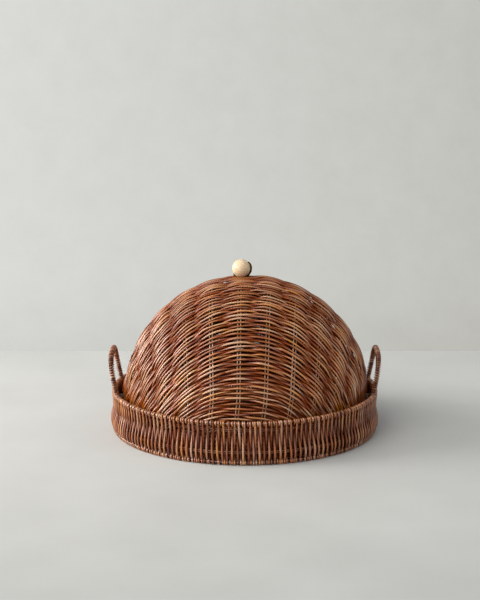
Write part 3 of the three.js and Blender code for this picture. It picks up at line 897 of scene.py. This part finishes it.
@dataclass
class Tray:
    """The round tray: upright strands that cross two pairs of rods and wrap over the rim and base."""

    strands: int = 168  # in each of the two sets
    nest: float = 0.62  # of a step, from a strand of the first set to the next of the second
    strand: float = 3.2
    strand_sizes: Pair = (0.88, 1.06)
    tones: Shades = Shades(0.48, 0.17)
    # painted light and shade: how much paler a strand is where it passes outside a pair of rods and darker
    # where it lies inside one
    painted_relief_shading: float = 0.36
    rim: Hoop = Hoop(183.7, 56.7, 2.25, (180, 135, 90, 45, 0, -45), 0.36, ((1.6, 0.2), (-1.6, -0.3)))
    base: Hoop = Hoop(182.1, 4.0, 2.85, (40, 0, -45, -90, -145, -190), 0.3, ((0.6, -0.3), (4.1, 0.2)))
    wrap: Pair = (1.1, 1.4)
    tail: Pair = (0.4, 6.0)  # how far inside and below the rim a strand ends
    # how much darker the strands are at their tucked ends, inside and below the rim
    tail_darkening: float = -0.1
    curve_steps: int = 3
    upper_rods: Pair = (182.2, 47.5)
    lower_rods: Pair = (185.0, 18.0)
    rod: float = 1.6
    rod_pair: float = 2.4
    rod_steps: int = 180
    rod_tones: Pair = (0.45, 0.55)
    crossing: Pair = (183.8, 33.0)
    groove: float = 2.6
    slant: float = -0.6  # sideways, over the slant height
    slant_spread: float = 0.5
    slant_height: float = 25.0
    stray: float = 0.2
    bulge: float = 0.15
    floor_radius: float = 177.3
    floor_height: float = 5.5
    floor_dish: float = 1.2
    floor_pitch: float = 3.0
    floor_edge: float = 1.4
    floor_eye: float = 5.0
    floor_wave: float = 1.45
    floor_strand: Pair = (1.0, 1.35)
    floor_steps: int = 6
    floor_tones: Shades = Shades(0.5, 0.15)
    floor_spokes: int = 48
    spoke: Pair = (0.55, 1.1)
    spoke_start: float = 4.0
    spoke_splits: Pair = (35.46, 88.65)
    spoke_marks: int = 12
    spoke_tones: Spot = (0.3, 0.5, 0.7)
    seed: int = 41

    def upright(self, order: int) -> np.ndarray:
        """Follows one wall strand from inside the rim down to the inside of the base.

        Args:
            order: 0 in the set that passes outside the upper rods, 1 in the one outside the lower rods.

        Returns:
            Radius, height, half thickness, half width and tone shift along the strand, which holds the
            painted light and shade.
        """
        half = self.strand / 2
        sign = 1 - 2 * order
        stand = sign * (self.rod / 2 + half)
        # painted light on the set that passes outside these rods, painted shade on the set inside them
        stain = sign * self.painted_relief_shading
        under_rim = self.rim.height - self.rim.wrap - self.groove
        above_base = self.base.height + self.base.wrap + self.groove
        (rim_out, rim_painted_shading), (base_out, base_painted_shading) = self.rim.ends[order], self.base.ends[order]
        tail = (self.rim.radius - self.rim.wrap - self.tail[0], self.rim.height - self.tail[1])
        wall = [
            (self.rim.radius + rim_out, under_rim, half, half, rim_painted_shading),
            (self.upper_rods[0] + stand, self.upper_rods[1], half, half, stain),
            (*self.crossing, half, half, 0.0),
            (self.lower_rods[0] - stand, self.lower_rods[1], half, half, -stain),
            (self.base.radius + base_out, above_base, half, half, base_painted_shading),
        ]
        top = [(*tail, *self.wrap, self.tail_darkening), *self.rim.bend(self.wrap)]
        return rounded(top + wall + self.base.bend(self.wrap), self.curve_steps)

    def wall(self) -> Strands:
        """Stands the wall strands round the tray, the two sets about half a step apart.

        Returns:
            The wall.
        """
        rng = np.random.default_rng(self.seed)
        made = Strands("tray_wall_strands")
        sets = [self.upright(order).T for order in range(2)]
        for place in range(2 * self.strands):
            radius, height, thick, wide, stain = sets[place % 2]
            size = rng.uniform(*self.strand_sizes)
            lean = rng.normal(self.slant, self.slant_spread)
            step = place // 2 + place % 2 * self.nest
            turn = 2 * math.pi * step / self.strands + rng.normal(0.0, self.stray) / self.rim.radius
            angle = turn + lean * (height - self.crossing[1]) / self.slant_height / self.rim.radius
            path = around(radius + rng.normal(0.0, self.bulge), angle, height)
            round_way = np.column_stack([-np.sin(angle), np.cos(angle), 0 * angle])
            outward = np.cross(np.gradient(path, axis=0), round_way)
            # each strand's own tone, with the painted light and shade of its path and its paler wraps
            made.add(path, outward, (thick * size, wide * size), self.tones.draw(rng) + stain)
        return made

    def ring(self, name: str, rings: Sequence[Pair], half: float) -> Strands:
        """Lays level rings.

        Args:
            name: The piece's name.
            rings: Each ring's radius to its middle and its height.
            half: Half the rings' thickness.

        Returns:
            The rings.
        """
        made = Strands(name, sides=8)
        angle = np.linspace(0.0, 2 * np.pi, self.rod_steps, endpoint=False)
        for (radius, height), tone in zip(rings, self.rod_tones):
            made.add(around(radius, angle, height), around(1.0, angle, 0.0), half, tone, closed=True)
        return made

    def floor_level(self, radius: Reals) -> np.ndarray:
        """Gives the middle of the dished floor at each radius."""
        return self.floor_height - self.floor_dish * np.clip(2 - 2 * radius / self.floor_radius, 0.0, 1.0)

    def spokes_at(self, radius: float) -> int:
        """Counts the spokes at a radius: they double at each split as the floor grows."""
        return self.floor_spokes // 2 * 2 ** sum(radius > split for split in self.spoke_splits)

    def floor(self) -> Strands:
        """Weaves the floor in rings over flat spokes.

        Returns:
            The woven floor.
        """
        rng = np.random.default_rng(self.seed + 1)
        made = Strands("tray_floor_weave", sides=5)
        for row in range(int((self.floor_radius - self.floor_eye) / self.floor_pitch)):
            radius = self.floor_radius - self.floor_edge - row * self.floor_pitch
            spokes = self.spokes_at(radius)
            angle = np.linspace(0.0, 2 * np.pi, spokes * self.floor_steps, endpoint=False)
            lift = self.floor_wave * np.cos(spokes * angle / 2 + math.pi * row)
            path = around(radius, angle, self.floor_level(radius) + lift)
            made.add(path, UP, self.floor_strand, self.floor_tones.draw(rng), closed=True)
        return made

    def spokes(self) -> Strands:
        """Lays the floor's flat spokes out from its middle.

        Returns:
            The spokes.
        """
        made = Strands("tray_floor_spokes", sides=4)
        inner, outer = self.spoke_splits
        starts = [self.spoke_start, outer, inner, outer]
        for order in range(self.floor_spokes * 2):
            radius = np.linspace(starts[order % len(starts)], self.floor_radius, self.spoke_marks)
            path = around(radius, math.pi * order / self.floor_spokes, self.floor_level(radius))
            made.add(path, UP, self.spoke, self.spoke_tones[order % len(self.spoke_tones)])
        return made

    def make(self, finishes: Finishes) -> None:
        """Builds the tray, dresses it and puts its pieces on their body.

        Args:
            finishes: The basket's finishes.
        """
        for name, (radius, height) in (("upper", self.upper_rods), ("lower", self.lower_rods)):
            pair = [(radius, height - self.rod_pair / 2), (radius, height + self.rod_pair / 2)]
            rods = self.ring(f"tray_{name}_rods", pair, self.rod / 2)
            seat(rods.build(finishes.wall), Body.TRAY, "pale_cane", f"tray_{name}_hoop")
        seat(self.wall().build(finishes.wall), Body.TRAY, "cane", "tray_wall_weave")
        for name, hoop in (("rim", self.rim), ("base", self.base)):
            rod = self.ring(f"tray_{name}_rod", [(hoop.radius, hoop.height)], hoop.wrap - self.wrap[0])
            seat(rod.build(finishes.rod), Body.TRAY, "dark_cane", f"tray_{name}_hoop")
        seat(self.floor().build(finishes.wall), Body.TRAY, "cane", "tray_floor")
        seat(self.spokes().build(finishes.stake), Body.TRAY, "pale_cane")


@dataclass
class Handle:
    """A bent rod on the rim with a close binding of split cane."""

    side: Side
    legs_apart: float = 92.0
    leg_out: float = 177.85
    leg_end: float = 53.7
    foot_height: float = 60.3
    rise: float = 50.2
    swell: float = 8.5
    squareness: float = 0.6
    swell_turn: float = 70.0
    arch_marks: int = 721
    spacing: float = 1.0
    core: float = 4.1
    core_tone: float = 0.0
    wrap_below: float = 2.0
    pitch: float = 3.3
    strip: Pair = (0.95, 0.99)
    steps: int = 12
    tones: Shades = Shades(0.66, 0.18, 0.1)
    seed: int = 53

    @property
    def label(self) -> str:
        """The handle's side in piece names."""
        return self.side.name.lower()

    def arch(self) -> np.ndarray:
        """Follows the handle's middle line from one leg to the other.

        Returns:
            Points in millimetres, on the handle's own side.
        """
        angle = np.linspace(0.0, np.pi, self.arch_marks)
        lift = np.sin(angle) ** self.squareness
        reach = np.sign(np.cos(angle)) * np.abs(np.cos(angle)) ** self.squareness
        out = self.leg_out + self.swell * np.sin(math.radians(self.swell_turn) * lift)
        path = np.column_stack([out, -self.legs_apart / 2 * reach, self.foot_height + self.rise * lift])
        return path * [self.side.value, self.side.value, 1.0]

    def run(self, low: float) -> np.ndarray:
        """Follows the arch at even spacing, with its legs run straight down to a height."""
        arch = self.arch()
        return resample(np.vstack([[*arch[0, :2], low], arch, [*arch[-1, :2], low]]), self.spacing)

    def rod(self) -> Strands:
        """Bends the rod, with its legs run down into the rim.

        Returns:
            The rod.
        """
        made = Strands(f"handle_{self.label}_rod", sides=8)
        made.add(self.run(self.leg_end), RIGHT, self.core / 2, self.core_tone)
        return made

    def binding(self) -> Strands:
        """Winds the strip closely round the rod.

        Returns:
            The winding.
        """
        made = Strands(f"handle_{self.label}_wrap", sides=8)
        line = self.run(self.foot_height - self.wrap_below)
        loops = int(len(line) * self.spacing / self.pitch)
        path, lift = wind(line, RIGHT, self.core / 2 + self.strip[0], loops, self.steps)
        loop = np.arange(len(path)) // self.steps
        tones = self.tones.draw(np.random.default_rng(self.seed), loop[-1] + 1)
        made.add(path, lift, self.strip, tones[loop])
        return made

    def make(self, finishes: Finishes) -> None:
        """Builds the handle, dresses it and puts its pieces on the tray."""
        seat(self.rod().build(finishes.rod), Body.TRAY, "dark_cane", f"handle_{self.label}_core")
        seat(self.binding().build(finishes.wall), Body.TRAY, "cane", f"handle_{self.label}_binding")


@dataclass
class Knob:
    """The bead on its loop of twine at the top edge of the front hood."""

    diameter: float = 25.4
    bore: float = 3.2
    lip: float = 0.5
    lip_angle: float = 50.0
    smooth_angle: float = 40.0
    tilt: float = 38.7
    turn: float = 93.0
    side: float = -1.5
    hood_radius: float = 173.3
    clearance: float = 0.3
    cord: float = 3.0
    lay: float = 14.0
    ply_out: float = 0.22  # from the twine's middle to a ply's, in cords
    ply: Pair = (0.26, 0.3)  # half a ply's thickness and width, in cords
    ply_tones: Spot = (0.35, 0.45, 0.55)
    ply_steps: int = 14
    right_foot: float = 7.2
    right_tuck: float = 0.8
    left_foot: float = 6.8
    left_tuck: float = 1.2
    sunk: float = 4.0
    loop: tuple[Pair, ...] = ((9.9, -9.8), (12.9, -5.0), (13.8, -0.2), (13.2, 3.9))
    tail: float = 0.2
    curve_steps: int = 12
    spacing: float = 0.6

    def place(self) -> Matrix:
        """Gives the knob's own frame on the hood.

        Returns:
            The frame, in millimetres.
        """
        side = math.radians(self.side)
        turn = math.radians(self.turn)
        far = self.hood_radius + self.clearance + self.diameter / 2
        level = far * math.cos(side)
        centre = (far * math.sin(side), -level * math.cos(turn), PIVOT_HEIGHT + level * math.sin(turn))
        spin = Matrix.Rotation(turn - math.pi / 2, 4, "X") @ Matrix.Rotation(side, 4, "Y")
        return Matrix.Translation(centre) @ spin

    def bead(self, finish: Material) -> Object:
        """Turns the bead: a ball with its bore drilled aslant and the bore's lips eased.

        Args:
            finish: The bead's material.

        Returns:
            The bead.
        """
        deselect()
        bpy.ops.mesh.primitive_uv_sphere_add(segments=48, ring_count=32, radius=self.diameter / 2 * MM)
        ball = bpy.context.object
        ball.name = "knob_ball"
        bpy.ops.mesh.primitive_cylinder_add(
            vertices=32, radius=self.bore / 2 * MM, depth=self.diameter * 2 * MM
        )
        drill = bpy.context.object
        deselect()
        ball.select_set(True)
        bpy.context.view_layer.objects.active = ball
        cut = ball.modifiers.new("bore", "BOOLEAN")
        cut.operation = "DIFFERENCE"
        cut.solver = "EXACT"
        cut.object = drill
        bpy.ops.object.modifier_apply(modifier=cut.name)
        bpy.data.objects.remove(drill)
        lip = ball.modifiers.new("lip", "BEVEL")
        lip.width = self.lip * MM
        lip.segments = 3
        lip.limit_method = "ANGLE"
        lip.angle_limit = math.radians(self.lip_angle)
        bpy.ops.object.modifier_apply(modifier=lip.name)
        bpy.ops.object.shade_smooth_by_angle(angle=math.radians(self.smooth_angle))
        frame = self.place()
        spin = Matrix.Rotation(math.pi / 2 - math.radians(self.tilt), 4, "Y")
        ball.data.transform(Matrix.Translation(frame.translation * MM) @ frame.to_3x3().to_4x4() @ spin)
        ball.data.materials.clear()
        ball.data.materials.append(finish)
        return ball

    def on_weave(self, reach: float, depth: float) -> Pair:
        """Gives a point of the knob's frame at a reach to the bead's right and a depth in the weave."""
        drop = self.hood_radius - math.sqrt(self.hood_radius**2 - reach**2)
        return reach, -self.diameter / 2 - drop - depth

    def in_bore(self, distance: float) -> Pair:
        """Gives a point of the knob's frame at a distance up the bore from the bead's middle."""
        tilt = math.radians(self.tilt)
        return distance * math.cos(tilt), distance * math.sin(tilt)

    def route(self) -> np.ndarray:
        """Follows the twine out of the weave, over, through the bead and back into the weave.

        Returns:
            Points in millimetres.
        """
        radius = self.diameter / 2
        flat = [
            self.on_weave(self.right_foot - self.right_tuck, self.sunk),
            self.on_weave(self.right_foot, 0.0),
            *self.loop,
            self.in_bore(radius),
            self.in_bore(radius / 2),
            self.in_bore(-radius / 2),
            self.in_bore(-radius - self.tail),
            self.on_weave(-self.left_foot, 0.0),
            self.on_weave(-self.left_foot + self.left_tuck, self.sunk),
        ]
        frame = self.place()
        knots = [tuple(frame @ Vector((across, 0.0, up))) for across, up in flat]
        return resample(rounded(knots, self.curve_steps), self.spacing)

    def twine(self) -> Strands:
        """Lays three plies round the twine's route.

        Returns:
            The twine.
        """
        made = Strands("knob_twine", sides=8)
        path = self.route()
        across = np.array(self.place().to_3x3() @ Vector((0.0, 1.0, 0.0)))
        loops = self.spacing * len(path) / self.lay
        half = (self.cord * self.ply[0], self.cord * self.ply[1])
        for ply, tone in enumerate(self.ply_tones):
            start = 2 * math.pi * ply / len(self.ply_tones)
            laid, lift = wind(path, across, self.cord * self.ply_out, loops, self.ply_steps, start)
            made.add(laid, lift, half, tone)
        return made

    def make(self, finishes: Finishes) -> None:
        """Builds the knob, dresses it and puts its pieces on the front hood."""
        seat(self.bead(finishes.bead), Body.FRONT_HOOD, "bead_wood", "knob_bead")
        seat(self.twine().build(finishes.twine), Body.FRONT_HOOD, "knob_cord", "knob_cord")


@dataclass(frozen=True)
class Lamp:
    """A square soft light that faces the basket."""

    name: str
    place: Spot
    size: float
    watts: float
    code: str
    spread: float = 180.0
    target: Spot = (0.0, 0.0, 100.0)

    def hang(self) -> None:
        """Adds the light to the scene."""
        data = bpy.data.lights.new(self.name, "AREA")
        data.shape = "SQUARE"
        data.size = self.size * MM
        data.energy = self.watts
        data.spread = math.radians(self.spread)
        data.color = linear(self.code)[:3]
        made = bpy.data.objects.new(self.name, data)
        bpy.context.scene.collection.objects.link(made)
        made.location = Vector(self.place) * MM
        aim = Vector(self.target) * MM - made.location
        made.rotation_euler = aim.to_track_quat("-Z", "Y").to_euler()


@dataclass
class Studio:
    """A pale table, a plain wall far behind it, a soft light from the upper left and a camera in front.

    The wall's places are parts of a view's direction of length one. The wall is painted lighter on the left
    and darker on the right, as painted light from the left, and darker at its foot, as painted shade.
    """

    lens: float = 96.0
    sensor: float = 36.0
    eye: Spot = (-6.6, -2186.0, 646.5)
    pitch: float = 11.98
    table_end: float = 446.0
    table_side: float = 6000.0
    table_codes: tuple[str, str] = ("#CBCCC9", "#B7B8B5")
    wall_codes: tuple[str, str] = ("#DADBD7", "#BBBBB4")
    # painted light: the wall's shade from its left to its right end, lighter on the left
    wall_reach: float = 0.155
    wall_shades: Pair = (-0.18, 0.64)
    # painted shade: darker at the wall's foot, between these heights
    wall_foot: Pair = (-0.24, -0.195)
    foot_shades: Pair = (0.24, 0.0)
    wall_back: Pair = (0.0, 0.3)
    cloud_scale: float = 60.0
    cloud_share: float = 0.36
    ambient: float = 0.45
    ambient_code: str = "#EAEBEB"
    lamps: tuple[Lamp, ...] = (
        Lamp("key", (-1700.0, -1500.0, 1700.0), 3600.0, 78.0, "#FFFCF8"),
        Lamp("window", (-1900.0, 50.0, 800.0), 1500.0, 10.0, "#FFFDFA", 70.0),
        Lamp("fill", (1700.0, -1500.0, 1600.0), 2000.0, 7.0, "#F6F8FF"),
    )

    def camera(self) -> None:
        """Sets up the camera at the photograph's viewing angle."""
        data = bpy.data.cameras.new("camera")
        data.lens = self.lens
        data.sensor_width = self.sensor
        made = bpy.data.objects.new("camera", data)
        bpy.context.scene.collection.objects.link(made)
        made.location = Vector(self.eye) * MM
        made.rotation_euler = Euler((math.radians(90 - self.pitch), 0.0, 0.0))
        bpy.context.scene.camera = made

    def table(self) -> None:
        """Lays the table top, which ends behind the basket."""
        deselect()
        middle = (0.0, (self.table_end - self.table_side / 2) * MM, 0.0)
        bpy.ops.mesh.primitive_plane_add(size=self.table_side * MM, location=middle)
        board = bpy.context.object
        board.name = "table"
        bpy.ops.object.transform_apply(location=True, rotation=True, scale=True)
        board.data.materials.append(PlasterFinish("table_limewash", *self.table_codes).make())

    def surroundings(self) -> None:
        """Sets the pale wall that the camera sees far off, with painted light across it and painted shade at
        its foot, and a dimmer even light from all round.
        """
        world = bpy.data.worlds.new("studio")
        world.use_nodes = True
        tree = world.node_tree
        even = tree.nodes["Background"]
        feed(tree, even, {"Color": linear(self.ambient_code), "Strength": self.ambient})
        way = add_node(tree, "TexCoord").outputs["Generated"]
        parts = add_node(tree, "SeparateXYZ", (way,)).outputs
        brush = {"Vector": way, "Scale": self.cloud_scale, "Detail": 6.0, "Roughness": 0.65}
        brushed = add_node(tree, "TexNoise", brush)
        reach = (-self.wall_reach, self.wall_reach)
        # painted light across the wall, lighter on the left, and painted shade at its foot
        across = add_node(tree, "MapRange", (parts["X"], *reach, *self.wall_shades))
        low = add_node(tree, "MapRange", (parts["Z"], *self.wall_foot, *self.foot_shades))
        clouded = add_node(tree, "Math", (brushed, self.cloud_share, low), operation="MULTIPLY_ADD")
        shade = add_node(tree, "Math", (across, clouded), operation="ADD")
        colour = add_node(tree, "ValToRGB", (shade,), ramp=list(zip((0.0, 1.0), self.wall_codes)))
        wall = add_node(tree, "Background", (colour,))
        ray = add_node(tree, "LightPath").outputs
        behind = add_node(tree, "MapRange", (parts["Y"], *self.wall_back))
        direct = (ray["Is Camera Ray"], ray["Is Transmission Ray"])
        straight = add_node(tree, "Math", direct, operation="ADD")
        seen = add_node(tree, "Math", (ray["Is Glossy Ray"], behind, straight), operation="MULTIPLY_ADD")
        mixed = add_node(tree, "MixShader", (seen, even, wall))
        feed(tree, tree.nodes["World Output"], {"Surface": mixed})
        bpy.context.scene.world = world

    def make(self) -> None:
        """Builds the stage, the lights and the view."""
        self.camera()
        self.table()
        for lamp in self.lamps:
            lamp.hang()
        self.surroundings()
        bpy.context.scene.view_settings.view_transform = "Standard"


def dress_nodes(frame: dict[str, Any], finish: Material) -> None:
    """Gives the nodes that still show their finish.

    Args:
        finish: The pegs' material.
    """
    for name, node in frame["nodes"].items():
        if not node.hide_render:
            node.data.materials.clear()
            node.data.materials.append(finish)
            LOG.info("%s: dressed", name)


def main() -> None:
    """Builds the basket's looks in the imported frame."""
    logging.basicConfig(level=logging.INFO, format="%(message)s")
    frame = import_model()
    Studio().make()
    finishes = Finishes.make()
    Tray().make(finishes)
    for side in Side:
        Handle(side).make(finishes)
    front = Hood(
        "front_hood",
        Facing.FRONT,
        Body.FRONT_HOOD,
        radius=173.5,
        top_turn=95.0,
        low_turn=-9.84,
        eye_inner=168.3,
        eye_outer=179.1,
        seed=7,
        stake_shifts=(-4.1, -3.3),
        sway=(3.2, 3.3),
    )
    rear = Hood(
        "rear_hood",
        Facing.REAR,
        Body.TRAY,
        radius=161.8,
        top_turn=92.0,
        low_turn=-10.56,
        eye_inner=156.8,
        eye_outer=168.0,
        seed=19,
        wave=2.0,
        strand=2.8,
        flat=1.6,
        row_pitch=2.6,
        wander=0.25,
        lift=0.15,
    )
    for hood in (front, rear):
        hood.make(finishes)
    Knob().make(finishes)
    dress_nodes(frame, finishes.peg)


if __name__ == "__main__":
    main()
